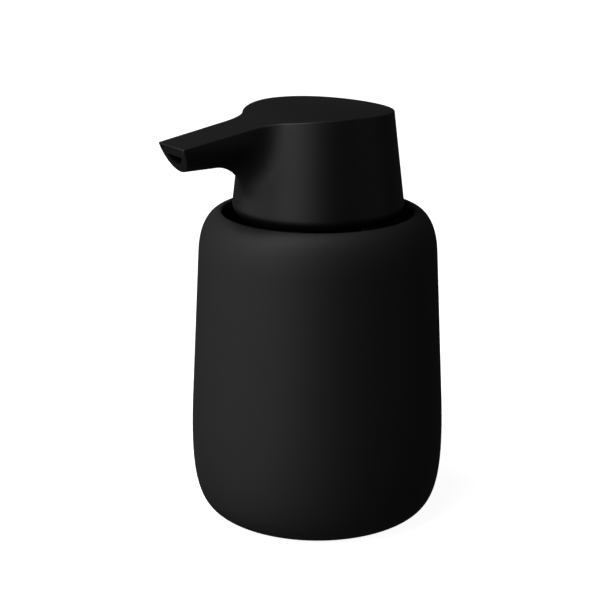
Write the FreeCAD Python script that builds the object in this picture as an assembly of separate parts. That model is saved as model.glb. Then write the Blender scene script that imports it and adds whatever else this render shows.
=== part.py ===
"""Pump dispenser for liquid soap: a ceramic vessel with a drop-in pump, millimetres, +Z up.

The origin is the centre of the resting face, on the vessel's axis. The spout points along -Y.
Every piece is a closed solid of its own, written to parts/NODE.step.
"""
import FreeCAD, Part

import math
import os

V = FreeCAD.Vector
UP = V(0, 0, 1)

# ---- ceramic vessel
BODY_R = 42.6            # radius where the base curve meets the tapered wall
BODY_R_Z = 40.0          # height of that point
WALL_TAPER = 0.054       # radius lost per millimetre of height
WALL_TOP_Z = 90.4        # where the tapered wall turns into the shoulder
BASE_Z = 0.5             # underside of the ceramic
BASE_FLAT_R = 33.9       # flat of the underside
BASE_CURVE_FLAT = 8.4    # how far the base curve keeps to the flat
BASE_CURVE_WALL = 25.5   # how far the base curve keeps to the wall
RIM_Z = 104.1            # crest of the rim
RIM_CREST_R = 32.7
SHOULDER_CURVE_WALL = 12.85
SHOULDER_CURVE_RIM = 0.3
LIP_R = 0.8              # rounding on the inside of the rim
VESSEL_WALL = 5.2
VESSEL_FLOOR_Z = 8.0
LEDGE_T = 5.0            # ring of ceramic that carries the pump
NECK_R = 20.0            # hole in that ring
CAVITY_FLOOR_ROUND = 14.0
CAVITY_ROOF_ROUND = 9.0
LEDGE_ROUND = 1.6
NECK_ROUND = 1.2

# ---- anti-slip pad
PAD_R = 33.2
PAD_T = 1.6
PAD_EDGE = 0.5
PAD_GAP = 0.3

# ---- head: truncated cone with a spout
HEAD_BOTTOM_Z = 102.6
HEAD_BOTTOM_R = 28.95
HEAD_TAPER = 0.122
HEAD_TOP_Z = 138.05      # highest point of the arched top
HEAD_CREST = 3.0         # distance of that point in front of the axis
TOP_FRONT_R = 120.0      # arch from the crest towards the spout
TOP_REAR_R = 320.0       # arch from the crest to the back
SPOUT_SLOPE = 9.3        # degrees, fall of the spout's flat top
HEAD_WALL = 2.3
HEAD_ROOF_Z = 134.8      # flat underside of the top
HEAD_FOOT_ROUND = 4.0
BLANK_SPARE = 2.2        # head blank above the finished top
CUT_SPARE = 6.0          # cutters and lofts run this far past the face they cross
TOP_EDGE_ROUND = 0.4     # along the top and around the spout's end face
SPOUT_REACH = 55.0       # vessel axis to the top of the spout's end face
SPOUT_HALF_W = 7.9       # at the tip
SPOUT_SPREAD = 0.03      # half width gained per millimetre towards the head
SPOUT_UNDERSIDE_Z = 122.6
SPOUT_END_SLANT = 22.0   # degrees, the end face looks forwards and down
SPOUT_ROOT_ROUND = 12.0  # blend under and beside the spout
SPOUT_TOP_ROUND = 8.0    # the same blend where it reaches the top
MOUTH_HALF_W = 4.6
MOUTH_H = 2.8
MOUTH_Z = 126.65         # middle of the spout channel

# ---- pump travel and closure
PRESS_TRAVEL = 11.0
PRESS_CLEAR = 3.0        # left between head and closure at full press
CLOSURE_T = 2.6
CLOSURE_GAP = 0.7        # closure edge to ceramic throat
GASKET_T = 1.4
GASKET_LAND = 5.0
GASKET_GAP = 0.3         # gasket's edge to the round at the ledge's corner
PLUG_GAP = 0.6           # plug skirt to ceramic neck
PLUG_WALL = 2.4
PLUG_DEPTH = 11.0
PLUG_SEAL_H = 2.4
PLUG_SEAL_DEEP = 1.1
PLUG_SEAL_GAP = 0.2
NECK_GAP = 1.2           # housing to the closure's threaded neck
NECK_FINISH_WALL = 2.6   # that neck, which the collar nut grips
NECK_FINISH_H = 7.4
FLANGE_GASKET_T = 1.0

# ---- pump housing
BORE_R = 7.0
HOUSING_WALL = 1.2
FLANGE_INSET = 0.4       # flange's edge behind the neck's outside
FLANGE_T = 1.4
HOUSING_BOTTOM_Z = 47.0  # underside of the spring floor
HOUSING_FLOOR_T = 2.0
VALVE_POCKET_R = 3.4
VALVE_POCKET_H = 7.5
VALVE_WALL = 1.6
VALVE_SEAT_R = 1.7
VALVE_SEAT_T = 1.5
TUBE_R = 2.95
TUBE_WALL = 0.85
TUBE_SOCKET_H = 9.0
TUBE_SOCKET_WALL = 1.4
TUBE_END_Z = 11.0
TUBE_END_SLANT = 30.0
LOCK_SEAT_WIDEN = 0.6    # counterbore that takes the lock ring
LOCK_SKIRT_H = 10.0

# ---- collar nut and lock ring
NUT_GAP = 0.15
NUT_WALL = 2.4
NUT_TOP_T = 1.4
NUT_FOOT_GAP = 0.3
NUT_RIBS = 36
NUT_RIB_R = 0.35
LOCK_FLANGE_LAND = 1.4   # flange of the lock ring beyond its skirt
LOCK_FLANGE_T = 2.0
LOCK_GAP = 0.2
WIPER_R = 5.6
WIPER_H = 2.0

# ---- stem, rod, piston and spring
STEM_R = 4.0
RUN_FIT = 0.06           # radial clearance of a running shaft
STEM_BORE_R = 1.6
STEM_SOCKET = 12.6       # length of stem held in the head
BOSS_CLEAR = 0.8         # head boss above the lock ring at full press
PISTON_GAP = 0.3         # piston below the lock ring at rest
PISTON_H = 8.7
PISTON_HUB_H = 6.2
PISTON_HUB_WALL = 1.5
PISTON_LIP_T = 0.9
PISTON_WEB_T = 1.4
ROD_NECK_R = 3.25
ROD_SPIGOT_R = 2.3
ROD_SPIGOT_H = 6.0
ROD_BORE_R = 1.4
ROD_FLANGE_R = 5.9
ROD_FLANGE_T = 1.6
ROD_GUIDE_H = 7.6
END_FLOAT = 0.1          # piston between stem and rod
SPRING_R = 4.95
SPRING_WIRE_R = 0.45
SPRING_TURNS = 8
SPRING_STEPS = 14        # rings along each turn of the spring
SPRING_GAP = 0.02        # spring's ends to the faces they bear on

# ---- valves
INLET_BALL_R = 2.4
INLET_LIFT = 1.2
OUTLET_BALL_R = 2.2
OUTLET_LIFT = 1.2
OUTLET_CHAMBER_R = 2.9
BALL_CLEAR = 0.02
STOP_CLEAR = 0.15
CAGE_T = 1.4
CAGE_HOLE_R = 0.8
CAGE_HOLE_ORBIT = 2.1
CAGE_HOLES = 4
OUTLET_SEAT_DROP = 1.0   # outlet seat below the underside of the head's boss

# ---- actuator core inside the head
BOSS_R = 7.0
CORE_FLANGE_R = 20.0
CORE_FLANGE_T = 2.0
SKIRT_GAP = 0.8          # around the collar nut
SKIRT_WALL = 1.4
SKIRT_BOTTOM_Z = 105.0
NIPPLE_R = 3.2
NIPPLE_REACH = 21.5
SPOUT_TUBE_GAP = 0.15    # above and below it in the spout's channel
SPOUT_TUBE_WALL = 0.4
SPOUT_TUBE_DEEP = 9.0    # pushed into the core from the nipple's end
SPOUT_TUBE_SHY = 3.2     # its end behind the spout's mouth

# ---- levels that follow from the sizes above
CLOSURE_TOP_Z = HEAD_BOTTOM_Z - PRESS_TRAVEL - PRESS_CLEAR
CLOSURE_Z = CLOSURE_TOP_Z - CLOSURE_T
LEDGE_Z = CLOSURE_Z - GASKET_T
THROAT_R = RIM_CREST_R - LIP_R
NECK_FINISH_TOP = CLOSURE_TOP_Z + NECK_FINISH_H
FLANGE_Z = NECK_FINISH_TOP + FLANGE_GASKET_T
FLANGE_TOP = FLANGE_Z + FLANGE_T
HOUSING_R = BORE_R + HOUSING_WALL
NECK_FINISH_R = HOUSING_R + NECK_GAP + NECK_FINISH_WALL
FLANGE_R = NECK_FINISH_R - FLANGE_INSET
LOCK_SKIRT_R = BORE_R + LOCK_SEAT_WIDEN
LOCK_FLANGE_R = LOCK_SKIRT_R + LOCK_FLANGE_LAND
LOCK_BOTTOM = FLANGE_TOP - LOCK_SKIRT_H
LOCK_TOP = FLANGE_TOP + LOCK_FLANGE_T
NUT_R = NECK_FINISH_R + NUT_GAP + NUT_WALL
BOSS_BOTTOM = LOCK_TOP + PRESS_TRAVEL + BOSS_CLEAR
STEM_TOP = BOSS_BOTTOM + STEM_SOCKET
PISTON_TOP = LOCK_BOTTOM - PISTON_GAP
PISTON_BOTTOM = PISTON_TOP - PISTON_H
HUB_BOTTOM = PISTON_BOTTOM - PISTON_WEB_T
HUB_TOP = HUB_BOTTOM + PISTON_HUB_H
STEM_BOTTOM = HUB_TOP + END_FLOAT
ROD_FLANGE_TOP = HUB_BOTTOM - END_FLOAT
ROD_FLANGE_Z = ROD_FLANGE_TOP - ROD_FLANGE_T
SPIGOT_TOP = STEM_BOTTOM + ROD_SPIGOT_H
HOUSING_FLOOR_Z = HOUSING_BOTTOM_Z + HOUSING_FLOOR_T
CAGE_TOP = HOUSING_FLOOR_Z + CAGE_T
POCKET_Z = HOUSING_FLOOR_Z - VALVE_POCKET_H
SEAT_UNDER_Z = POCKET_Z - VALVE_SEAT_T
SOCKET_Z = SEAT_UNDER_Z - TUBE_SOCKET_H
INLET_BALL_Z = POCKET_Z + math.sqrt(INLET_BALL_R ** 2 - VALVE_SEAT_R ** 2) + BALL_CLEAR
CAGE_STOP_Z = INLET_BALL_Z + INLET_BALL_R + INLET_LIFT + STOP_CLEAR
OUTLET_SEAT_Z = BOSS_BOTTOM - OUTLET_SEAT_DROP
OUTLET_BALL_Z = OUTLET_SEAT_Z + math.sqrt(OUTLET_BALL_R ** 2 - STEM_BORE_R ** 2) + BALL_CLEAR
OUTLET_STOP_Z = OUTLET_BALL_Z + OUTLET_BALL_R + OUTLET_LIFT + STOP_CLEAR
SKIRT_R = NUT_R + SKIRT_GAP
SPOUT_TUBE_R = MOUTH_H / 2 - SPOUT_TUBE_GAP
SPOUT_TUBE_BORE_R = SPOUT_TUBE_R - SPOUT_TUBE_WALL


def wall_radius(z):
    """Outer radius of the vessel's tapered wall at height z."""
    return BODY_R - WALL_TAPER * (z - BODY_R_Z)


def head_radius(z):
    """Outer radius of the head's cone at height z."""
    return HEAD_BOTTOM_R - HEAD_TAPER * (z - HEAD_BOTTOM_Z)


def spout_half_width(reach):
    """Half width of the spout at a distance from the axis."""
    return SPOUT_HALF_W + SPOUT_SPREAD * (SPOUT_REACH - reach)


def line(a, b):
    """Straight edge between two (radius, height) points of a turned outline."""
    return Part.makeLine(V(a[0], 0, a[1]), V(b[0], 0, b[1]))


def curve(*poles):
    """Bezier edge through the control points of a turned outline."""
    bezier = Part.BezierCurve()
    bezier.setPoles([V(r, 0, z) for r, z in poles])
    return bezier.toShape()


def revolve(edges):
    """Solid of revolution from the closed outline that the edges make."""
    face = Part.Face(Part.Wire(edges))
    return face.revolve(V(0, 0, 0), UP, 360)


def turned(*corners):
    """Solid of revolution from (radius, height) corners joined by straight lines."""
    return revolve([line(a, b) for a, b in zip(corners, corners[1:] + corners[:1])])


def rod(radius, z_low, z_high):
    """Upright cylinder on the vessel's axis."""
    return Part.makeCylinder(radius, z_high - z_low, V(0, 0, z_low))


def tube(outer, inner, z_low, z_high):
    """Upright tube on the vessel's axis."""
    return rod(outer, z_low, z_high).cut(rod(inner, z_low - 1, z_high + 1))


def ring_edges(shape, radius, z):
    """Circular edges of a shape with this radius at this height."""
    found = []
    for edge in shape.Edges:
        if not isinstance(edge.Curve, Part.Circle):
            continue
        if abs(edge.Curve.Radius - radius) < 0.01 and abs(edge.Curve.Center.z - z) < 0.01:
            found.append(edge)
    return found


def rounded(shape, size, *rings):
    """Shape with the named (radius, height) ring edges rounded."""
    edges = [edge for radius, z in rings for edge in ring_edges(shape, radius, z)]
    return shape.makeFillet(size, edges)


# ------------------------------------------------------------------ vessel

def vessel():
    """Ceramic shell: footed base, tapered wall, shoulder, rim, recess, ledge and inner cavity."""
    slope = V(-WALL_TAPER, 0, 1).normalize()
    shoulder_r = wall_radius(WALL_TOP_Z)
    pad_seat = PAD_T
    seat_r = PAD_R + PAD_GAP
    roof_z = LEDGE_Z - LEDGE_T
    wall_foot = (BODY_R, BODY_R_Z)
    wall_top = (shoulder_r, WALL_TOP_Z)
    foot_pull = (BODY_R - BASE_CURVE_WALL * slope.x, BODY_R_Z - BASE_CURVE_WALL * slope.z)
    shoulder_pull = (shoulder_r + SHOULDER_CURVE_WALL * slope.x, WALL_TOP_Z + SHOULDER_CURVE_WALL * slope.z)
    crest = (RIM_CREST_R, RIM_Z)
    lip_in = LIP_R * math.sin(math.pi / 4)
    lip_down = LIP_R * (1 - math.cos(math.pi / 4))
    edges = [
        line((0, pad_seat), (seat_r, pad_seat)),
        line((seat_r, pad_seat), (seat_r, BASE_Z)),
        line((seat_r, BASE_Z), (BASE_FLAT_R, BASE_Z)),
        curve((BASE_FLAT_R, BASE_Z), (BASE_FLAT_R + BASE_CURVE_FLAT, BASE_Z), foot_pull, wall_foot),
        line(wall_foot, wall_top),
        curve(wall_top, shoulder_pull, (RIM_CREST_R + SHOULDER_CURVE_RIM, RIM_Z), crest),
        Part.Arc(V(RIM_CREST_R, 0, RIM_Z), V(RIM_CREST_R - lip_in, 0, RIM_Z - lip_down),
                 V(THROAT_R, 0, RIM_Z - LIP_R)).toShape(),
        line((THROAT_R, RIM_Z - LIP_R), (THROAT_R, LEDGE_Z)),
        line((THROAT_R, LEDGE_Z), (NECK_R, LEDGE_Z)),
        line((NECK_R, LEDGE_Z), (NECK_R, roof_z)),
        line((NECK_R, roof_z), (wall_radius(roof_z) - VESSEL_WALL, roof_z)),
        line((wall_radius(roof_z) - VESSEL_WALL, roof_z), (BODY_R - VESSEL_WALL, BODY_R_Z)),
        line((BODY_R - VESSEL_WALL, BODY_R_Z), (BODY_R - VESSEL_WALL, VESSEL_FLOOR_Z)),
        line((BODY_R - VESSEL_WALL, VESSEL_FLOOR_Z), (0, VESSEL_FLOOR_Z)),
        line((0, VESSEL_FLOOR_Z), (0, pad_seat)),
    ]
    shell = revolve(edges)
    shell = rounded(shell, CAVITY_FLOOR_ROUND, (BODY_R - VESSEL_WALL, VESSEL_FLOOR_Z))
    shell = rounded(shell, CAVITY_ROOF_ROUND, (wall_radius(roof_z) - VESSEL_WALL, roof_z))
    shell = rounded(shell, LEDGE_ROUND, (THROAT_R, LEDGE_Z))
    return rounded(shell, NECK_ROUND, (NECK_R, LEDGE_Z), (NECK_R, roof_z))


def base_pad():
    """Soft disc let into the underside, which the dispenser stands on."""
    return rounded(rod(PAD_R, 0, PAD_T), PAD_EDGE, (PAD_R, 0))


# ------------------------------------------------------------------ closure and pump housing

def closure_plug():
    """Plate on the ledge with a plug skirt below and a threaded neck above."""
    plate_r = THROAT_R - CLOSURE_GAP
    plug_r = NECK_R - PLUG_GAP
    skirt_z = LEDGE_Z - PLUG_DEPTH
    hole_r = NECK_FINISH_R - NECK_FINISH_WALL
    plate = tube(plate_r, hole_r, CLOSURE_Z, CLOSURE_TOP_Z)
    plate = plate.makeFillet(CLOSURE_T / 3, ring_edges(plate, plate_r, CLOSURE_TOP_Z))
    skirt = tube(plug_r, plug_r - PLUG_WALL, skirt_z, CLOSURE_Z)
    finish = tube(NECK_FINISH_R, hole_r, CLOSURE_TOP_Z, NECK_FINISH_TOP)
    plug = plate.fuse([skirt, finish]).removeSplitter()
    groove_z = seal_groove_z()
    return plug.cut(tube(plug_r + 1, plug_r - PLUG_SEAL_DEEP, groove_z, groove_z + PLUG_SEAL_H))


def seal_groove_z():
    """Lower side of the groove in the plug skirt, midway down the ceramic ring."""
    return LEDGE_Z - LEDGE_T / 2 - PLUG_SEAL_H / 2


def closure_gasket():
    """Flat ring between the ceramic ledge and the closure plate, clear of the ledge's inner round."""
    outer = THROAT_R - LEDGE_ROUND - GASKET_GAP
    return tube(outer, outer - GASKET_LAND, LEDGE_Z, CLOSURE_Z)


def plug_seal():
    """Soft ring in the plug's groove, with a rounded face towards the ceramic neck."""
    inner = NECK_R - PLUG_GAP - PLUG_SEAL_DEEP
    outer = NECK_R - PLUG_SEAL_GAP
    z = seal_groove_z()
    bulge = PLUG_SEAL_H / 4
    return turned((inner, z), (outer - bulge, z), (outer, z + bulge), (outer, z + PLUG_SEAL_H - bulge),
                  (outer - bulge, z + PLUG_SEAL_H), (inner, z + PLUG_SEAL_H))


def pump_housing():
    """Cylinder of the pump with its flange, inlet pocket, valve seat and dip tube socket."""
    pocket_r = VALVE_POCKET_R + VALVE_WALL
    socket_r = TUBE_R + TUBE_SOCKET_WALL
    outside = rod(HOUSING_R, HOUSING_BOTTOM_Z, FLANGE_TOP).fuse([
        rod(FLANGE_R, FLANGE_Z, FLANGE_TOP),
        rod(pocket_r, SEAT_UNDER_Z, HOUSING_BOTTOM_Z),
        rod(socket_r, SOCKET_Z, SEAT_UNDER_Z)])
    inside = rod(BORE_R, HOUSING_FLOOR_Z, FLANGE_TOP).fuse([
        rod(LOCK_SKIRT_R, LOCK_BOTTOM, FLANGE_TOP),
        rod(VALVE_POCKET_R, POCKET_Z, HOUSING_FLOOR_Z),
        rod(VALVE_SEAT_R, SEAT_UNDER_Z, POCKET_Z),
        rod(TUBE_R, SOCKET_Z, SEAT_UNDER_Z)])
    return outside.removeSplitter().cut(inside.removeSplitter())


def housing_gasket():
    """Ring between the closure's neck and the housing flange."""
    return tube(FLANGE_R, HOUSING_R + RUN_FIT, NECK_FINISH_TOP, FLANGE_Z)


def collar_nut():
    """Ribbed nut that clamps the housing flange down on the closure's neck."""
    inner = NECK_FINISH_R + NUT_GAP
    foot = CLOSURE_TOP_Z + NUT_FOOT_GAP
    top = FLANGE_TOP + NUT_TOP_T
    nut = turned((inner, foot), (NUT_R - NUT_RIB_R, foot), (NUT_R - NUT_RIB_R, top - NUT_TOP_T / 2),
                 (NUT_R - NUT_RIB_R - NUT_TOP_T / 2, top), (LOCK_FLANGE_R + LOCK_GAP, top),
                 (LOCK_FLANGE_R + LOCK_GAP, FLANGE_TOP), (inner, FLANGE_TOP))
    ribs = []
    for k in range(NUT_RIBS):
        angle = 2 * math.pi * k / NUT_RIBS
        centre = V((NUT_R - NUT_RIB_R) * math.cos(angle), (NUT_R - NUT_RIB_R) * math.sin(angle), foot)
        ribs.append(Part.makeCylinder(NUT_RIB_R, FLANGE_TOP - foot, centre))
    return nut.fuse(ribs)


def lock_ring():
    """Ring in the housing's mouth that guides the stem and holds the piston in."""
    bore = STEM_R + RUN_FIT
    return turned((bore, FLANGE_TOP - LOCK_FLANGE_T), (WIPER_R, FLANGE_TOP - LOCK_FLANGE_T),
                  (WIPER_R, LOCK_BOTTOM), (LOCK_SKIRT_R, LOCK_BOTTOM), (LOCK_SKIRT_R, FLANGE_TOP),
                  (LOCK_FLANGE_R, FLANGE_TOP), (LOCK_FLANGE_R, LOCK_TOP - LOCK_FLANGE_T / 4),
                  (LOCK_FLANGE_R - LOCK_FLANGE_T / 4, LOCK_TOP), (bore, LOCK_TOP))


def stem_wiper():
    """Soft ring under the lock ring's roof that wipes the stem and keeps water out."""
    top = FLANGE_TOP - LOCK_FLANGE_T
    return tube(WIPER_R, STEM_R + RUN_FIT, top - WIPER_H, top)


def ball_cage():
    """Disc on the housing floor: seat for the spring, stop for the inlet ball, holes for soap."""
    plug_r = VALVE_POCKET_R - RUN_FIT
    cage = rod(BORE_R - RUN_FIT, HOUSING_FLOOR_Z, CAGE_TOP).fuse(rod(plug_r, CAGE_STOP_Z, HOUSING_FLOOR_Z))
    holes = []
    for k in range(CAGE_HOLES):
        angle = 2 * math.pi * k / CAGE_HOLES
        centre = V(CAGE_HOLE_ORBIT * math.cos(angle), CAGE_HOLE_ORBIT * math.sin(angle), CAGE_STOP_Z - 1)
        holes.append(Part.makeCylinder(CAGE_HOLE_R, CAGE_TOP - CAGE_STOP_Z + 2, centre))
    return cage.removeSplitter().cut(holes)


def dip_tube():
    """Tube from the housing down to just above the vessel's floor, cut on a slant."""
    pipe = tube(TUBE_R, TUBE_R - TUBE_WALL, TUBE_END_Z, SEAT_UNDER_Z)
    knife = Part.makeBox(8 * TUBE_R, 8 * TUBE_R, 4 * TUBE_R, V(-4 * TUBE_R, -4 * TUBE_R, -4 * TUBE_R))
    knife.rotate(V(0, 0, 0), V(1, 0, 0), TUBE_END_SLANT)
    knife.translate(V(0, 0, TUBE_END_Z + TUBE_R * math.tan(math.radians(TUBE_END_SLANT))))
    return pipe.cut(knife)


def inlet_ball():
    """Ball that lets soap up from the dip tube and not back."""
    return Part.makeSphere(INLET_BALL_R, V(0, 0, INLET_BALL_Z))


# ------------------------------------------------------------------ plunger

def piston_seal():
    """Piston: a hub that the stem drives, a web, and a thin sleeve that wipes the bore."""
    hub_r = ROD_NECK_R + RUN_FIT
    hub_out = hub_r + PISTON_HUB_WALL
    sleeve_r = BORE_R - RUN_FIT
    sleeve_in = sleeve_r - PISTON_LIP_T
    web_z = PISTON_BOTTOM + PISTON_H / 2
    lip = PISTON_LIP_T / 2
    edge_r = sleeve_r - lip / 2
    under_web = web_z - PISTON_WEB_T
    return turned((hub_r, HUB_BOTTOM), (hub_out, HUB_BOTTOM), (hub_out, under_web), (sleeve_in, under_web),
                  (sleeve_in, PISTON_BOTTOM + lip), (edge_r, PISTON_BOTTOM), (sleeve_r, PISTON_BOTTOM + lip),
                  (sleeve_r, PISTON_TOP - lip), (edge_r, PISTON_TOP), (sleeve_in, PISTON_TOP - lip),
                  (sleeve_in, web_z), (hub_out, web_z), (hub_out, HUB_TOP), (hub_r, HUB_TOP))


def return_spring():
    """Coil spring between the ball cage and the rod's flange: a loft through rings along the coil."""
    low = CAGE_TOP + SPRING_WIRE_R + SPRING_GAP
    pitch = (ROD_FLANGE_Z - SPRING_WIRE_R - SPRING_GAP - low) / SPRING_TURNS
    rings = []
    for k in range(SPRING_TURNS * SPRING_STEPS + 1):
        angle = 2 * math.pi * k / SPRING_STEPS
        centre = V(SPRING_R * math.cos(angle), SPRING_R * math.sin(angle), low + pitch * k / SPRING_STEPS)
        along = V(-SPRING_R * math.sin(angle), SPRING_R * math.cos(angle), pitch / (2 * math.pi))
        rings.append(Part.Wire(Part.makeCircle(SPRING_WIRE_R, centre, along)))
    return Part.makeLoft(rings, True, True)


def stem():
    """Hollow stem pressed into the head, with the outlet valve's chamber at its top."""
    return turned((ROD_SPIGOT_R, STEM_BOTTOM), (STEM_R, STEM_BOTTOM), (STEM_R, STEM_TOP),
                  (OUTLET_CHAMBER_R, STEM_TOP), (OUTLET_CHAMBER_R, OUTLET_SEAT_Z),
                  (STEM_BORE_R, OUTLET_SEAT_Z), (STEM_BORE_R, SPIGOT_TOP), (ROD_SPIGOT_R, SPIGOT_TOP))


def piston_rod():
    """Hollow rod under the stem: spigot, neck for the piston, flange and guide for the spring."""
    guide_z = ROD_FLANGE_Z - ROD_GUIDE_H
    return turned((ROD_BORE_R, guide_z), (ROD_NECK_R, guide_z), (ROD_NECK_R, ROD_FLANGE_Z),
                  (ROD_FLANGE_R, ROD_FLANGE_Z), (ROD_FLANGE_R, ROD_FLANGE_TOP), (ROD_NECK_R, ROD_FLANGE_TOP),
                  (ROD_NECK_R, STEM_BOTTOM), (ROD_SPIGOT_R, STEM_BOTTOM), (ROD_SPIGOT_R, SPIGOT_TOP),
                  (ROD_BORE_R, SPIGOT_TOP))


def outlet_ball():
    """Ball that lets soap up to the spout and not back."""
    return Part.makeSphere(OUTLET_BALL_R, V(0, 0, OUTLET_BALL_Z))


def outlet_stop():
    """Sleeve in the top of the stem that keeps the outlet ball in its chamber."""
    return tube(OUTLET_CHAMBER_R, STEM_BORE_R, OUTLET_STOP_Z, STEM_TOP)


# ------------------------------------------------------------------ head

def spout_section(reach, top_z):
    """Half of the spout's section, flat above and half round below, at a distance from the axis."""
    half = spout_half_width(reach)
    y = -reach
    low = SPOUT_UNDERSIDE_Z
    side = half * math.sin(math.pi / 4)
    return Part.Wire([
        Part.Arc(V(0, y, low), V(side, y, low + half - side), V(half, y, low + half)).toShape(),
        Part.makeLine(V(half, y, low + half), V(half, y, top_z)),
        Part.makeLine(V(half, y, top_z), V(0, y, top_z)),
        Part.makeLine(V(0, y, top_z), V(0, y, low))])


def on_cone(edge):
    """True for an edge that lies on the head's cone and in front of the axis."""
    span = edge.LastParameter - edge.FirstParameter
    points = [edge.valueAt(edge.FirstParameter + span * k / 4) for k in range(5)]
    return all(abs(math.hypot(p.x, p.y) - head_radius(p.z)) < 0.001 and p.y < 0 for p in points)


def head_blank():
    """Solid cone and spout with the blend between them, before the top is cut."""
    blank_z = HEAD_TOP_Z + BLANK_SPARE
    height = blank_z - HEAD_BOTTOM_Z
    cone = Part.makeCone(HEAD_BOTTOM_R, head_radius(blank_z), height, V(0, 0, HEAD_BOTTOM_Z))
    size = 2 * HEAD_BOTTOM_R
    half = cone.common(Part.makeBox(size, 2 * size, 2 * height, V(0, -size, HEAD_BOTTOM_Z - height / 2)))
    sections = [spout_section(SPOUT_REACH + CUT_SPARE, blank_z), spout_section(CUT_SPARE, blank_z)]
    half = half.fuse(Part.makeLoft(sections, True, True)).removeSplitter()
    seam = [e for e in half.Edges if on_cone(e) and len(e.Vertexes) == 2
            and abs(e.Vertexes[0].Point.z - e.Vertexes[1].Point.z) > 1
            and max(v.Point.x for v in e.Vertexes) < BODY_R
            and not all(abs(v.Point.x) < 0.001 for v in e.Vertexes)]
    half = half.makeFillet(SPOUT_TOP_ROUND, SPOUT_ROOT_ROUND, seam)
    return half.fuse(half.mirror(V(0, 0, 0), V(1, 0, 0))).removeSplitter()


def top_arch_end():
    """Distance from the axis and height at which the front arch turns into the sloping flat."""
    slope = math.radians(SPOUT_SLOPE)
    reach = HEAD_CREST + TOP_FRONT_R * math.sin(slope)
    return reach, HEAD_TOP_Z - TOP_FRONT_R * (1 - math.cos(slope))


def top_surface_z(reach):
    """Height of the spout's sloping top at a distance from the axis."""
    start, height = top_arch_end()
    return height - (reach - start) * math.tan(math.radians(SPOUT_SLOPE))


def under_the_top():
    """Everything under the head's top surface: rear arch, front arch and the spout's sloping flat."""
    back = 1.5 * HEAD_BOTTOM_R
    front = 1.5 * SPOUT_REACH
    floor_z = HEAD_BOTTOM_Z - 5
    half = math.radians(SPOUT_SLOPE) / 2
    start, height = top_arch_end()

    def rear_z(distance):
        return HEAD_TOP_Z - TOP_REAR_R + math.sqrt(TOP_REAR_R ** 2 - distance ** 2)

    def spot(reach, z):
        return V(-2 * HEAD_BOTTOM_R, -reach, z)

    middle = (back + HEAD_CREST) / 2
    rear_middle = spot(HEAD_CREST - middle, rear_z(middle))
    crest = spot(HEAD_CREST, HEAD_TOP_Z)
    front_reach = HEAD_CREST + TOP_FRONT_R * math.sin(half)
    front_middle = spot(front_reach, HEAD_TOP_Z - TOP_FRONT_R * (1 - math.cos(half)))
    outline = [
        Part.Arc(spot(-back, rear_z(back + HEAD_CREST)), rear_middle, crest).toShape(),
        Part.Arc(crest, front_middle, spot(start, height)).toShape(),
        Part.makeLine(spot(start, height), spot(front, top_surface_z(front))),
        Part.makeLine(spot(front, top_surface_z(front)), spot(front, floor_z)),
        Part.makeLine(spot(front, floor_z), spot(-back, floor_z)),
        Part.makeLine(spot(-back, floor_z), spot(-back, rear_z(back + HEAD_CREST)))]
    return Part.Face(Part.Wire(outline)).extrude(V(4 * HEAD_BOTTOM_R, 0, 0))


def spout_channel():
    """Half-moon passage from the spout's end face into the head."""
    low = MOUTH_Z - MOUTH_H / 2
    high = MOUTH_Z + MOUTH_H / 2
    start = -(SPOUT_REACH + CUT_SPARE)
    left = V(-MOUTH_HALF_W, start, high)
    right = V(MOUTH_HALF_W, start, high)
    belly = Part.Arc(right, V(0, start, low), left).toShape()
    face = Part.Face(Part.Wire([Part.makeLine(left, right), belly]))
    return face.extrude(V(0, SPOUT_REACH - NIPPLE_REACH + CUT_SPARE, 0))


def face_kind(face):
    """Which part of the head's outside a face belongs to: its top, the spout's end or the sides."""
    u_low, u_high, v_low, v_high = face.ParameterRange
    normal = face.normalAt((u_low + u_high) / 2, (v_low + v_high) / 2)
    if normal.z > 0.9:
        return "top"
    if abs(normal.y + math.cos(math.radians(SPOUT_END_SLANT))) < 0.01 and abs(normal.x) < 0.01:
        return "end"
    return "side"


def crisp_edges(shape):
    """Edges where the top or the spout's end face meets a face of another kind."""
    chosen = []
    for edge in shape.Edges:
        beside = [face for face in shape.Faces if any(edge.isSame(other) for other in face.Edges)]
        if len({face_kind(face) for face in beside}) > 1:
            chosen.append(edge)
    return chosen


def head_shell():
    """Outer shell of the head: cone, arched top, spout with its slanted end face and mouth."""
    shell = head_blank().common(under_the_top())
    half = HEAD_BOTTOM_R
    knife = Part.makeBox(2 * half, half, 2 * half, V(-half, -half, -half))
    knife.rotate(V(0, 0, 0), V(1, 0, 0), SPOUT_END_SLANT)
    knife.translate(V(0, -SPOUT_REACH, top_surface_z(SPOUT_REACH)))
    shell = shell.cut(knife)
    shell = rounded(shell, HEAD_FOOT_ROUND, (HEAD_BOTTOM_R, HEAD_BOTTOM_Z))
    shell = shell.makeFillet(TOP_EDGE_ROUND, crisp_edges(shell))
    hollow = Part.makeCone(HEAD_BOTTOM_R - HEAD_WALL + HEAD_TAPER, head_radius(HEAD_ROOF_Z) - HEAD_WALL,
                           HEAD_ROOF_Z - HEAD_BOTTOM_Z + 1, V(0, 0, HEAD_BOTTOM_Z - 1))
    return shell.cut([hollow, spout_channel()])


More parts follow.
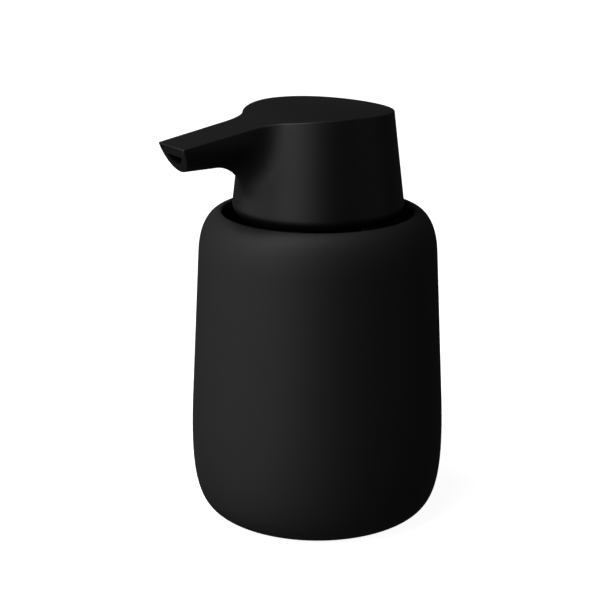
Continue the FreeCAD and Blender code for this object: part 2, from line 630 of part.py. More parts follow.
def actuator_core():
    """Moulded core in the head: boss for the stem, top flange, skirt around the nut, outlet nipple."""
    boss = rod(BOSS_R, BOSS_BOTTOM, HEAD_ROOF_Z)
    flange = rod(CORE_FLANGE_R, HEAD_ROOF_Z - CORE_FLANGE_T, HEAD_ROOF_Z)
    skirt = tube(SKIRT_R + SKIRT_WALL, SKIRT_R, SKIRT_BOTTOM_Z, HEAD_ROOF_Z)
    nipple = Part.makeCylinder(NIPPLE_R, NIPPLE_REACH, V(0, 0, MOUTH_Z), V(0, -1, 0))
    core = boss.fuse([flange, skirt, nipple]).removeSplitter()
    passage = Part.makeCylinder(SPOUT_TUBE_BORE_R, NIPPLE_REACH, V(0, 0, MOUTH_Z), V(0, -1, 0))
    tube_start = V(0, SPOUT_TUBE_DEEP - NIPPLE_REACH, MOUTH_Z)
    socket = Part.makeCylinder(SPOUT_TUBE_R, SPOUT_TUBE_DEEP + 1, tube_start, V(0, -1, 0))
    stem_seat = rod(STEM_R, BOSS_BOTTOM - 1, STEM_TOP)
    return core.cut([stem_seat, rod(STEM_BORE_R, STEM_TOP, MOUTH_Z), passage, socket])


def spout_tube():
    """Tube that carries soap along the spout to just behind its mouth."""
    start = V(0, SPOUT_TUBE_DEEP - NIPPLE_REACH, MOUTH_Z)
    slant = (top_surface_z(SPOUT_REACH) - MOUTH_Z) * math.tan(math.radians(SPOUT_END_SLANT))
    length = SPOUT_REACH - slant - SPOUT_TUBE_SHY - NIPPLE_REACH + SPOUT_TUBE_DEEP
    outer = Part.makeCylinder(SPOUT_TUBE_R, length, start, V(0, -1, 0))
    return outer.cut(Part.makeCylinder(SPOUT_TUBE_BORE_R, length, start, V(0, -1, 0)))


PIECES = [vessel, base_pad, closure_plug, closure_gasket, plug_seal, pump_housing, housing_gasket,
          collar_nut, lock_ring, stem_wiper, ball_cage, dip_tube, inlet_ball, piston_seal, return_spring,
          stem, piston_rod, outlet_ball, outlet_stop, head_shell, actuator_core, spout_tube]


def main():
    """Build every piece and write it to its own STEP file."""
    os.makedirs("parts", exist_ok=True)
    for piece in PIECES:
        shape = piece()
        shape.exportStep("parts/" + piece.__name__ + ".step")
        solids = len(shape.Solids)
        print(piece.__name__, "solids", solids, "valid", shape.isValid(), "volume", round(shape.Volume, 1))


main()
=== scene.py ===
"""Looks of a soap pump dispenser: a matt black ceramic vessel and a moulded push-down pump head.

Sizes in the classes are millimetres, and MM turns them into Blender's metres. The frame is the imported
part's own: +Z up along the vessel's axis, the spout towards -Y, the resting face at zero.
"""
from __future__ import annotations

import logging
import math
from dataclasses import dataclass, field
from enum import Enum
from typing import Any

import bmesh
import bpy
from mathutils import Matrix, Vector

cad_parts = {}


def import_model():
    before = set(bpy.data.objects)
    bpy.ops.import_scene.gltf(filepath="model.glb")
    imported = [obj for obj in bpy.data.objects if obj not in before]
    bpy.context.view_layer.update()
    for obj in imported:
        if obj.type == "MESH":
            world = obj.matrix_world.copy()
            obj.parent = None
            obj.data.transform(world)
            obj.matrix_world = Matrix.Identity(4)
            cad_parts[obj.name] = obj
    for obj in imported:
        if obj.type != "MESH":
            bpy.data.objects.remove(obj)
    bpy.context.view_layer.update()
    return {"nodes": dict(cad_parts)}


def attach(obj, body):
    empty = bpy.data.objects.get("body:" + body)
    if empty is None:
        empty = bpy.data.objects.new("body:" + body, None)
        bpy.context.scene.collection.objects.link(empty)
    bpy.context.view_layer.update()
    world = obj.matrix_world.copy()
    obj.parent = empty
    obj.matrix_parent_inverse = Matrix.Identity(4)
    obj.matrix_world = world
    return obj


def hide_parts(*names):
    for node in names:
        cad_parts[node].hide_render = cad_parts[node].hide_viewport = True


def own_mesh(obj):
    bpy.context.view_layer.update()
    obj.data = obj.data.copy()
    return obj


LOG = logging.getLogger("dispenser")
MM = 0.001
MERGE_DISTANCE = 2e-6
CREASE = 32.0            # degrees, sharper edges of turned pieces stay crisp
BROAD_SIZE = 14.0        # size of the slow change of colour over a surface
BROAD_DETAIL = 2.0
FINE_DETAIL = 3.0
PIT_SMOOTHNESS = 0.6
DRAWN_STRETCH = 12.0     # how far a drawn surface's pattern runs along the axis
SCATTER_DEPTH = 1.0      # how deep light goes into milky plastic

Point = tuple[float, float]


# ------------------------------------------------------------------ colours and shader trees

def linear(hex_colour: str) -> tuple[float, float, float, float]:
    """Turn an sRGB hex colour into Blender's linear colour.

    Args:
        hex_colour: Six hex digits, such as "1a1a1b".

    Returns:
        Linear red, green, blue and an alpha of one.
    """
    channels = []
    for start in (0, 2, 4):
        value = int(hex_colour[start:start + 2], 16) / 255
        channels.append(value / 12.92 if value <= 0.04045 else ((value + 0.055) / 1.055) ** 2.4)
    return channels[0], channels[1], channels[2], 1.0


def add_node(tree: bpy.types.NodeTree, kind: str, settings: dict[str, Any] | None = None,
             sockets: dict[str | int, Any] | None = None) -> bpy.types.Node:
    """Add a node with its settings and its inputs, each a value or a link.

    Args:
        tree: Shader or geometry tree the node goes into.
        kind: Blender's type name of the node.
        settings: Properties of the node itself.
        sockets: Input name or number, to a value or to the output socket that feeds it.

    Returns:
        The new node.
    """
    node = tree.nodes.new(kind)
    for name, value in (settings or {}).items():
        setattr(node, name, value)
    for name, value in (sockets or {}).items():
        if isinstance(value, bpy.types.NodeSocket):
            tree.links.new(value, node.inputs[name])
        else:
            node.inputs[name].default_value = value
    return node


class Grain(Enum):
    """How a surface's fine relief was made."""

    GLAZED = "glazed"
    SPARK_ERODED = "spark eroded"
    POLISHED_TOOL = "polished tool"
    DRAWN = "drawn"


@dataclass(frozen=True)
class Finish:
    """A surface: what it is made of, its colour, its gloss and its relief.

    The grain size and depth are millimetres on the real thing.
    """

    name: str
    grain: Grain
    colour: str
    colour_low: str
    roughness: float
    roughness_spread: float
    grain_size: float
    grain_depth: float
    wave_size: float = 0.0
    wave_depth: float = 0.0
    ior: float = 1.5
    metallic: float = 0.0
    specular: float = 0.5
    transmission: float = 0.0
    subsurface: float = 0.0
    sheen: float = 0.0

    def make(self) -> bpy.types.Material:
        """Build the node material, or return the one already made.

        Returns:
            The material under this finish's name.
        """
        known = bpy.data.materials.get(self.name)
        if known is not None:
            return known
        material = bpy.data.materials.new(self.name)
        material.use_nodes = True
        tree = material.node_tree
        tree.nodes.clear()
        place = add_node(tree, "ShaderNodeTexCoord").outputs["Object"]
        if self.grain is Grain.DRAWN:
            place = self.stretched(tree, place)
        fine = self.pattern(tree, place)
        broad = self.noise(tree, place, BROAD_SIZE, BROAD_DETAIL)
        tint = add_node(tree, "ShaderNodeMix", {"data_type": "RGBA"},
                        {"Factor": broad, 6: linear(self.colour_low), 7: linear(self.colour)})
        gloss = add_node(tree, "ShaderNodeMapRange", None,
                         {"Value": fine, "To Min": self.roughness - self.roughness_spread,
                          "To Max": self.roughness + self.roughness_spread})
        shader = add_node(tree, "ShaderNodeBsdfPrincipled", None, {
            "Base Color": tint.outputs[2], "Roughness": gloss.outputs[0], "Metallic": self.metallic,
            "IOR": self.ior, "Specular IOR Level": self.specular,
            "Transmission Weight": self.transmission, "Subsurface Weight": self.subsurface,
            "Sheen Weight": self.sheen, "Normal": self.relief(tree, place, fine)})
        if self.subsurface:
            shader.inputs["Subsurface Scale"].default_value = SCATTER_DEPTH * MM
        add_node(tree, "ShaderNodeOutputMaterial", None, {"Surface": shader.outputs[0]})
        return material

    def pattern(self, tree: bpy.types.NodeTree, place: bpy.types.NodeSocket) -> bpy.types.NodeSocket:
        """Add the fine pattern that this kind of surface has, at its real size.

        Args:
            tree: The material's tree.
            place: Coordinates the pattern reads.

        Returns:
            The pattern's height, from 0 to 1.
        """
        if self.grain is not Grain.SPARK_ERODED:
            return self.noise(tree, place, self.grain_size, FINE_DETAIL)
        pits = add_node(tree, "ShaderNodeTexVoronoi", {"feature": "SMOOTH_F1"},
                        {"Vector": place, "Scale": 1 / (self.grain_size * MM), "Smoothness": PIT_SMOOTHNESS})
        return pits.outputs["Distance"]

    @staticmethod
    def noise(tree: bpy.types.NodeTree, place: bpy.types.NodeSocket, size: float,
              detail: float) -> bpy.types.NodeSocket:
        """Add a noise whose features measure a size in millimetres.

        Args:
            tree: The material's tree.
            place: Coordinates the noise reads.
            size: Size of its features.
            detail: How many finer layers it has.

        Returns:
            The noise, from 0 to 1.
        """
        made = add_node(tree, "ShaderNodeTexNoise", None,
                        {"Vector": place, "Scale": 1 / (size * MM), "Detail": detail})
        return made.outputs[0]

    @staticmethod
    def stretched(tree: bpy.types.NodeTree, place: bpy.types.NodeSocket) -> bpy.types.NodeSocket:
        """Stretch a pattern along the axis, as a drawn or extruded surface is.

        Args:
            tree: The material's tree.
            place: Coordinates to stretch.

        Returns:
            The stretched coordinates.
        """
        mapping = add_node(tree, "ShaderNodeMapping", None,
                           {"Vector": place, "Scale": (1, 1, 1 / DRAWN_STRETCH)})
        return mapping.outputs[0]

    def relief(self, tree: bpy.types.NodeTree, place: bpy.types.NodeSocket,
               fine: bpy.types.NodeSocket) -> bpy.types.NodeSocket:
        """Add the fine grain and, where there is one, the slow wave under it.

        Args:
            tree: The material's tree.
            place: Coordinates the patterns read.
            fine: The grain's noise.

        Returns:
            The normal that the shader reads.
        """
        bump = add_node(tree, "ShaderNodeBump", None,
                        {"Height": fine, "Distance": self.grain_depth * MM, "Strength": 1.0})
        if self.wave_depth:
            wave = self.noise(tree, place, self.wave_size, 1.0)
            bump = add_node(tree, "ShaderNodeBump", None,
                            {"Height": wave, "Distance": self.wave_depth * MM, "Strength": 1.0,
                             "Normal": bump.outputs[0]})
        return bump.outputs[0]


# Stoneware under a matt black glaze: crystals too small to see scatter the light, the body's slow
# unevenness from casting bends it slightly.
MATT_GLAZE = Finish("matt_black_stoneware_glaze", Grain.GLAZED, "1c1c1d", "181819", 0.62, 0.05,
                    0.45, 0.006, 16.0, 0.03, 1.5, specular=0.4)
# The vessel's inside has a clear glaze over the same body, wetter than the outside.
INNER_GLAZE = Finish("clear_glaze_inside", Grain.GLAZED, "2a2a2b", "232324", 0.28, 0.06,
                     1.2, 0.01, 20.0, 0.05, 1.5)
# ABS from a spark-eroded mould: an even, very fine pitting that takes the shine off black plastic.
MOULDED_ABS = Finish("spark_eroded_black_abs", Grain.SPARK_ERODED, "0d0d0e", "0b0b0c", 0.47, 0.04,
                     0.35, 0.004, ior=1.52, specular=0.4)
# Polypropylene mouldings of the closure, black through, from a polished tool.
BLACK_POLYPROPYLENE = Finish("black_polypropylene", Grain.POLISHED_TOOL, "151516", "121213", 0.38, 0.05,
                             0.6, 0.004, ior=1.49)
# Unpigmented polypropylene is milky and lets light a little way in.
NATURAL_POLYPROPYLENE = Finish("natural_polypropylene", Grain.POLISHED_TOOL, "e6e6e1", "dedfda", 0.36, 0.05,
                               0.6, 0.004, ior=1.49, subsurface=0.25)
# Soft polyethylene of the piston, clearer and waxier than the polypropylene.
SOFT_POLYETHYLENE = Finish("soft_polyethylene", Grain.POLISHED_TOOL, "e9ecee", "e2e6e8", 0.42, 0.04,
                           0.8, 0.003, ior=1.51, subsurface=0.3)
# Extruded polyethylene tube: cloudy, with die lines along it.
EXTRUDED_TUBE = Finish("extruded_polyethylene_tube", Grain.DRAWN, "e4e8e8", "dce1e2", 0.32, 0.06,
                       0.5, 0.004, ior=1.51, transmission=0.45)
# Silicone of the seals, grey and slightly tacky to the eye.
SEAL_SILICONE = Finish("grey_seal_silicone", Grain.POLISHED_TOOL, "6f6f6d", "676765", 0.55, 0.05,
                       0.7, 0.004, ior=1.41)
# The foot pad is black silicone with a dull, slightly dusty skin.
PAD_SILICONE = Finish("black_pad_silicone", Grain.SPARK_ERODED, "161616", "121212", 0.78, 0.05,
                      0.5, 0.01, ior=1.41, sheen=0.1)
# Stainless wire and balls: bright drawn, faint lines along the wire.
STAINLESS = Finish("bright_drawn_stainless", Grain.DRAWN, "c8c6c2", "bdbbb7", 0.22, 0.06,
                   0.3, 0.002, metallic=1.0)


# ------------------------------------------------------------------ outlines of turned pieces

@dataclass(frozen=True)
class Corner:
    """A corner of a turned outline: radius, height and the size of its rounding."""

    r: float
    z: float
    fillet: float = 0.0


ARC_STEP = math.radians(9)


def softened(corners: list[Corner], closed: bool = True) -> list[Point]:
    """Round the corners of an outline.

    Args:
        corners: Corners in order.
        closed: Whether the last corner joins the first.

    Returns:
        Points of the outline in millimetres.
    """
    points: list[Point] = []
    count = len(corners)
    for index, corner in enumerate(corners):
        inner = closed or 0 < index < count - 1
        if corner.fillet <= 0 or not inner:
            points.append((corner.r, corner.z))
            continue
        here = Vector((corner.r, corner.z))
        before = corners[index - 1]
        after = corners[(index + 1) % count]
        back = (Vector((before.r, before.z)) - here).normalized()
        ahead = (Vector((after.r, after.z)) - here).normalized()
        half = back.angle(ahead) / 2
        reach = corner.fillet / math.tan(half)
        centre = here + (back + ahead).normalized() * (corner.fillet / math.sin(half))
        start = here + back * reach - centre
        turn = math.pi - 2 * half
        side = 1 if back.x * ahead.y - back.y * ahead.x < 0 else -1
        steps = max(2, round(turn / ARC_STEP))
        for k in range(steps + 1):
            spot = Matrix.Rotation(side * turn * k / steps, 2) @ start + centre
            points.append((spot.x, spot.y))
    return points


def bezier(a: Point, b: Point, c: Point, d: Point, steps: int) -> list[Point]:
    """Points along a cubic Bezier, without its first point.

    Args:
        a: Start.
        b: First control point.
        c: Second control point.
        d: End.
        steps: Number of points.

    Returns:
        The points in order, the last one at d.
    """
    points = []
    for k in range(1, steps + 1):
        t = k / steps
        s = 1 - t
        weights = (s ** 3, 3 * s * s * t, 3 * s * t * t, t ** 3)
        points.append((sum(w * p[0] for w, p in zip(weights, (a, b, c, d))),
                       sum(w * p[1] for w, p in zip(weights, (a, b, c, d)))))
    return points


# ------------------------------------------------------------------ geometry trees

@dataclass
class GeometryTree:
    """A geometry node tree with named inputs, and the modifier that runs it."""

    name: str
    tree: bpy.types.NodeTree = field(init=False)
    inputs: dict[str, str] = field(init=False, default_factory=dict)

    def __post_init__(self) -> None:
        """Make the empty tree with its geometry in and out."""
        self.tree = bpy.data.node_groups.new(self.name, "GeometryNodeTree")
        self.tree.interface.new_socket("Geometry", in_out="INPUT", socket_type="NodeSocketGeometry")
        self.tree.interface.new_socket("Geometry", in_out="OUTPUT", socket_type="NodeSocketGeometry")

    def declare(self, name: str, kind: str) -> None:
        """Add a named input of a socket type."""
        socket = self.tree.interface.new_socket(name, in_out="INPUT", socket_type=kind)
        self.inputs[name] = socket.identifier

    def node(self, kind: str, settings: dict[str, Any] | None = None,
             sockets: dict[str | int, Any] | None = None) -> bpy.types.Node:
        """Add a node to this tree."""
        return add_node(self.tree, kind, settings, sockets)

    def end(self, geometry: bpy.types.NodeSocket, material: bpy.types.NodeSocket) -> None:
        """Realize the instances, set the material and close the tree.

        Args:
            geometry: What the tree has made.
            material: The material it gets.
        """
        real = self.node("GeometryNodeRealizeInstances", None, {"Geometry": geometry})
        dressed = self.node("GeometryNodeSetMaterial", None,
                            {"Geometry": real.outputs[0], "Material": material})
        self.node("NodeGroupOutput", None, {"Geometry": dressed.outputs[0]})

    def run(self, name: str, mesh: bpy.types.Mesh, values: dict[str, Any]) -> bpy.types.Object:
        """Evaluate the tree on a mesh and keep the result as a plain object.

        Args:
            name: Name of the finished piece.
            mesh: What the tree starts from.
            values: Input name to value.

        Returns:
            The finished object, without the modifier.
        """
        source = bpy.data.objects.new(name + "_source", mesh)
        bpy.context.scene.collection.objects.link(source)
        modifier = source.modifiers.new(self.name, "NODES")
        modifier.node_group = self.tree
        for key, value in values.items():
            modifier[self.inputs[key]] = value
        bpy.context.view_layer.update()
        evaluated = source.evaluated_get(bpy.context.evaluated_depsgraph_get())
        result = bpy.data.meshes.new_from_object(evaluated)
        result.name = name
        bpy.data.objects.remove(source)
        made = bpy.data.objects.new(name, result)
        bpy.context.scene.collection.objects.link(made)
        return made


def lathe_tree() -> GeometryTree:
    """Tree that turns an outline round the axis: outline, segments, path radius and material in.

    Returns:
        The finished tree.
    """
    lathe = GeometryTree("turned_piece")
    lathe.declare("Segments", "NodeSocketInt")
    lathe.declare("Path Radius", "NodeSocketFloat")
    lathe.declare("Material", "NodeSocketMaterial")
    start = lathe.node("NodeGroupInput")
    outline = lathe.node("GeometryNodeMeshToCurve", None, {"Mesh": start.outputs["Geometry"]})
    path = lathe.node("GeometryNodeCurvePrimitiveCircle", {"mode": "RADIUS"},
                      {"Resolution": start.outputs["Segments"], "Radius": start.outputs["Path Radius"]})
    swept = lathe.node("GeometryNodeCurveToMesh", None,
                       {"Curve": path.outputs[0], "Profile Curve": outline.outputs[0]})
    merged = lathe.node("GeometryNodeMergeByDistance", None,
                        {"Geometry": swept.outputs[0], "Distance": MERGE_DISTANCE})
    smooth = lathe.node("GeometryNodeSetShadeSmooth", None, {"Geometry": merged.outputs[0]})
    lathe.end(smooth.outputs[0], start.outputs["Material"])
    return lathe


def coil_tree() -> GeometryTree:
    """Tree that winds round wire into a coil: turns, radius, wire radius, rise and material in.

    Returns:
        The finished tree.
    """
    coil = GeometryTree("wound_coil")
    for name in ("Turns", "Coil Radius", "End Radius", "Wire Radius", "Rise"):
        coil.declare(name, "NodeSocketFloat")
    coil.declare("Material", "NodeSocketMaterial")
    start = coil.node("NodeGroupInput")
    path = coil.node("GeometryNodeCurveSpiral", None,
                     {"Resolution": 40, "Rotations": start.outputs["Turns"],
                      "Start Radius": start.outputs["Coil Radius"], "End Radius": start.outputs["End Radius"],
                      "Height": start.outputs["Rise"]})
    wire = coil.node("GeometryNodeCurvePrimitiveCircle", {"mode": "RADIUS"},
                     {"Resolution": 16, "Radius": start.outputs["Wire Radius"]})
    swept = coil.node("GeometryNodeCurveToMesh", None,
                      {"Curve": path.outputs[0], "Profile Curve": wire.outputs[0], "Fill Caps": True})
    smooth = coil.node("GeometryNodeSetShadeSmooth", None, {"Geometry": swept.outputs[0]})
    coil.end(smooth.outputs[0], start.outputs["Material"])
    return coil


def ring_tree() -> GeometryTree:
    """Tree that sets copies of a mesh in a ring: count, ring radius and material in.

    Returns:
        The finished tree.
    """
    ring = GeometryTree("ring_of_copies")
    ring.declare("Count", "NodeSocketInt")
    ring.declare("Ring Radius", "NodeSocketFloat")
    ring.declare("Material", "NodeSocketMaterial")
    start = ring.node("NodeGroupInput")
    path = ring.node("GeometryNodeCurvePrimitiveCircle", {"mode": "RADIUS"},
                     {"Resolution": start.outputs["Count"], "Radius": start.outputs["Ring Radius"]})
    points = ring.node("GeometryNodeCurveToPoints", {"mode": "EVALUATED"}, {"Curve": path.outputs[0]})
    copies = ring.node("GeometryNodeInstanceOnPoints", None,
                       {"Points": points.outputs["Points"], "Instance": start.outputs["Geometry"]})
    ring.end(copies.outputs[0], start.outputs["Material"])
    return ring


# ------------------------------------------------------------------ making pieces

@dataclass
class Workshop:
    """The shared trees, and the steps every finished piece goes through."""

    lathe: GeometryTree = field(default_factory=lathe_tree)
    coil: GeometryTree = field(default_factory=coil_tree)
    ring: GeometryTree = field(default_factory=ring_tree)
    segments: int = 192
    path_radius: float = 100.0

    def turned(self, name: str, outline: list[Point], finish: Finish,
               closed: bool = True) -> bpy.types.Object:
        """Turn an outline round the vessel's axis.

        Args:
            name: Name of the piece.
            outline: Points as radius and height in millimetres.
            finish: Surface of the piece.
            closed: Whether the last point joins the first; an open outline starts and ends on the axis.

        Returns:
            The turned piece.
        """
        mesh = bpy.data.meshes.new(name + "_outline")
        # an outline swept along a level circle lies upside down, so its heights are negated
        spots = [((r - self.path_radius) * MM, -z * MM, 0) for r, z in outline]
        edges = [(k, k + 1) for k in range(len(spots) - 1)]
        if closed:
            edges.append((len(spots) - 1, 0))
        mesh.from_pydata(spots, edges, [])
        values = {"Segments": self.segments, "Path Radius": self.path_radius * MM, "Material": finish.make()}
        return self.finished(self.lathe.run(name, mesh, values))

    def finished(self, piece: bpy.types.Object, crease: float = CREASE) -> bpy.types.Object:
        """Weld a piece, turn its faces outwards and mark the edges that stay crisp.

        Args:
            piece: The piece to finish.
            crease: Angle in degrees above which an edge is crisp.

        Returns:
            The same piece.
        """
        shape = bmesh.new()
        shape.from_mesh(piece.data)
        bmesh.ops.remove_doubles(shape, verts=shape.verts, dist=MERGE_DISTANCE)
        bmesh.ops.dissolve_degenerate(shape, edges=shape.edges, dist=MERGE_DISTANCE)
        bmesh.ops.recalc_face_normals(shape, faces=shape.faces)
        shape.to_mesh(piece.data)
        shape.free()
        piece.data.shade_smooth()
        piece.data.set_sharp_from_angle(angle=math.radians(crease))
        return piece

    def joined(self, name: str, parts: list[bpy.types.Object]) -> bpy.types.Object:
        """Put the meshes of several objects into the first one.

        Args:
            name: Name of the result.
            parts: Objects at the origin, unturned.

        Returns:
            One object that holds them all.
        """
        shape = bmesh.new()
        materials = []
        for part in parts:
            start = len(shape.faces)
            shape.from_mesh(part.data)
            shape.faces.ensure_lookup_table()
            offset = len(materials)
            for face in shape.faces[start:]:
                face.material_index += offset
            materials.extend(part.data.materials)
        mesh = bpy.data.meshes.new(name)
        shape.to_mesh(mesh)
        shape.free()
        for material in materials:
            mesh.materials.append(material)
        for part in parts:
            bpy.data.objects.remove(part)
        made = bpy.data.objects.new(name, mesh)
        bpy.context.scene.collection.objects.link(made)
        mesh.shade_smooth()
        mesh.set_sharp_from_angle(angle=math.radians(CREASE))
        return made

    def copied(self, node: bpy.types.Object, name: str, finish: Finish,
               crease: float) -> bpy.types.Object:
        """Copy a CAD node's mesh, welded and smooth, under a new name.

        Args:
            node: The CAD node.
            name: Name of the copy.
            finish: Surface of the copy.
            crease: Angle in degrees above which an edge is crisp.

        Returns:
            The copy.
        """
        mesh = node.data.copy()
        mesh.name = name
        mesh.materials.clear()
        mesh.materials.append(finish.make())
        made = bpy.data.objects.new(name, mesh)
        bpy.context.scene.collection.objects.link(made)
        return self.finished(made, crease)


def settle(piece: bpy.types.Object, body: str, slot: str, *nodes: str) -> None:
    """Let a piece ride on its body and stand for its nodes.

    Args:
        piece: The finished piece.
        body: CAD body that it moves with.
        slot: Name of a material slot; not used.
        nodes: CAD nodes that it replaces.
    """
    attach(piece, body)
    if nodes:
        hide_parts(*nodes)
    LOG.info("%s: %d faces, rides on %s", piece.name, len(piece.data.polygons), body)


def dress(node: bpy.types.Object, finish: Finish) -> None:
    """Give a CAD node its finish through its object's own slots.

    Args:
        node: The CAD node.
        finish: Surface that it gets.
    """
    for slot in node.material_slots:
        slot.link = "OBJECT"
        slot.material = finish.make()
    LOG.info("%s: %s", node.name, finish.name)


# ------------------------------------------------------------------ vessel

@dataclass
class CeramicVessel:
    """Slip-cast vessel: rounded base, tapering wall, shoulder, rim, recess, ledge and cavity."""

    body_r: float = 42.6
    body_z: float = 40.0
    taper: float = 0.054
    wall_top_z: float = 90.4
    base_z: float = 0.5
    base_flat_r: float = 33.9
    base_pull_flat: float = 8.4
    base_pull_wall: float = 25.5
    rim_z: float = 104.1
    rim_r: float = 32.7
    shoulder_pull: float = 12.85
    rim_pull: float = 0.3
    lip: float = 0.8
    ledge_z: float = 84.6
    ledge_thickness: float = 5.0
    neck_r: float = 20.0
    wall: float = 5.2
    floor_z: float = 8.0
    pad_r: float = 33.2
    pad_thickness: float = 1.6
    pad_gap: float = 0.3
    base_steps: int = 48
    wall_ring_step: int = 6
    shoulder_steps: int = 36
    lip_steps: int = 8

    def wall_r(self, z: float) -> float:
        """Outer radius of the tapering wall at a height."""
        return self.body_r - self.taper * (z - self.body_z)

    def outside(self) -> list[Point]:
        """Outline from the pad's seat up the outside to the throat.

        Returns:
            Points as radius and height in millimetres.
        """
        lean = Vector((-self.taper, 1)).normalized()
        foot = (self.body_r, self.body_z)
        top = (self.wall_r(self.wall_top_z), self.wall_top_z)
        seat_r = self.pad_r + self.pad_gap
        points = softened([Corner(0, self.pad_thickness), Corner(seat_r, self.pad_thickness),
                           Corner(seat_r, self.base_z, 0.15), Corner(self.base_flat_r, self.base_z)], False)
        flat = (self.base_flat_r, self.base_z)
        points += bezier(flat, (self.base_flat_r + self.base_pull_flat, self.base_z),
                         (foot[0] - self.base_pull_wall * lean.x, foot[1] - self.base_pull_wall * lean.y),
                         foot, self.base_steps)
        low = round(self.body_z) + self.wall_ring_step
        points += [(self.wall_r(z), z) for z in range(low, round(self.wall_top_z), self.wall_ring_step)]
        points.append(top)
        points += bezier(top, (top[0] + self.shoulder_pull * lean.x, top[1] + self.shoulder_pull * lean.y),
                         (self.rim_r + self.rim_pull, self.rim_z), (self.rim_r, self.rim_z),
                         self.shoulder_steps)
        for k in range(1, self.lip_steps + 1):
            angle = math.pi / 2 * k / self.lip_steps
            points.append((self.rim_r - self.lip * math.sin(angle),
                           self.rim_z - self.lip * (1 - math.cos(angle))))
        return points

    def inside(self) -> list[Point]:
        """Outline from the throat down the recess, through the neck and round the cavity.

        Returns:
            Points as radius and height in millimetres.
        """
        throat = self.rim_r - self.lip
        roof = self.ledge_z - self.ledge_thickness
        cavity = self.body_r - self.wall
        points = softened([Corner(throat, self.rim_z - self.lip), Corner(throat, self.ledge_z, 1.6),
                           Corner(self.neck_r, self.ledge_z, 1.2), Corner(self.neck_r, roof, 1.2),
                           Corner(self.wall_r(roof) - self.wall, roof, 9.0), Corner(cavity, self.body_z),
                           Corner(cavity, self.floor_z, 14.0), Corner(0, self.floor_z)], False)
        return points[1:]

    def build(self, shop: Workshop) -> None:
        """Make the vessel and its foot pad.

        Args:
            shop: The workshop that makes the meshes.
        """
        outline = self.outside() + self.inside()
        shell = shop.turned("vessel_shell", outline, MATT_GLAZE, closed=False)
        shell.data.materials.append(INNER_GLAZE.make())
        self.glaze_inside(shell)
        settle(shell, "vessel", "stoneware", "vessel")
        disc = softened([Corner(0, 0), Corner(self.pad_r, 0, 0.5),
                         Corner(self.pad_r, self.pad_thickness, 0.2), Corner(0, self.pad_thickness)], False)
        pad = shop.turned("foot_pad", disc, PAD_SILICONE, closed=False)
        settle(pad, "vessel", "soft_pad", "base_pad")

    def glaze_inside(self, shell: bpy.types.Object) -> None:
        """Give the faces below the ledge and within the wall the clear inner glaze.

        Args:
            shell: The vessel, with the inner glaze as its second material.
        """
        spare = 0.1
        roof = self.ledge_z - self.ledge_thickness
        for face in shell.data.polygons:
            z = face.center.z / MM
            radius = math.hypot(face.center.x, face.center.y) / MM
            if self.floor_z - spare < z < roof + spare and radius < self.wall_r(z) - self.wall + spare:
                face.material_index = 1


# ------------------------------------------------------------------ pump unit

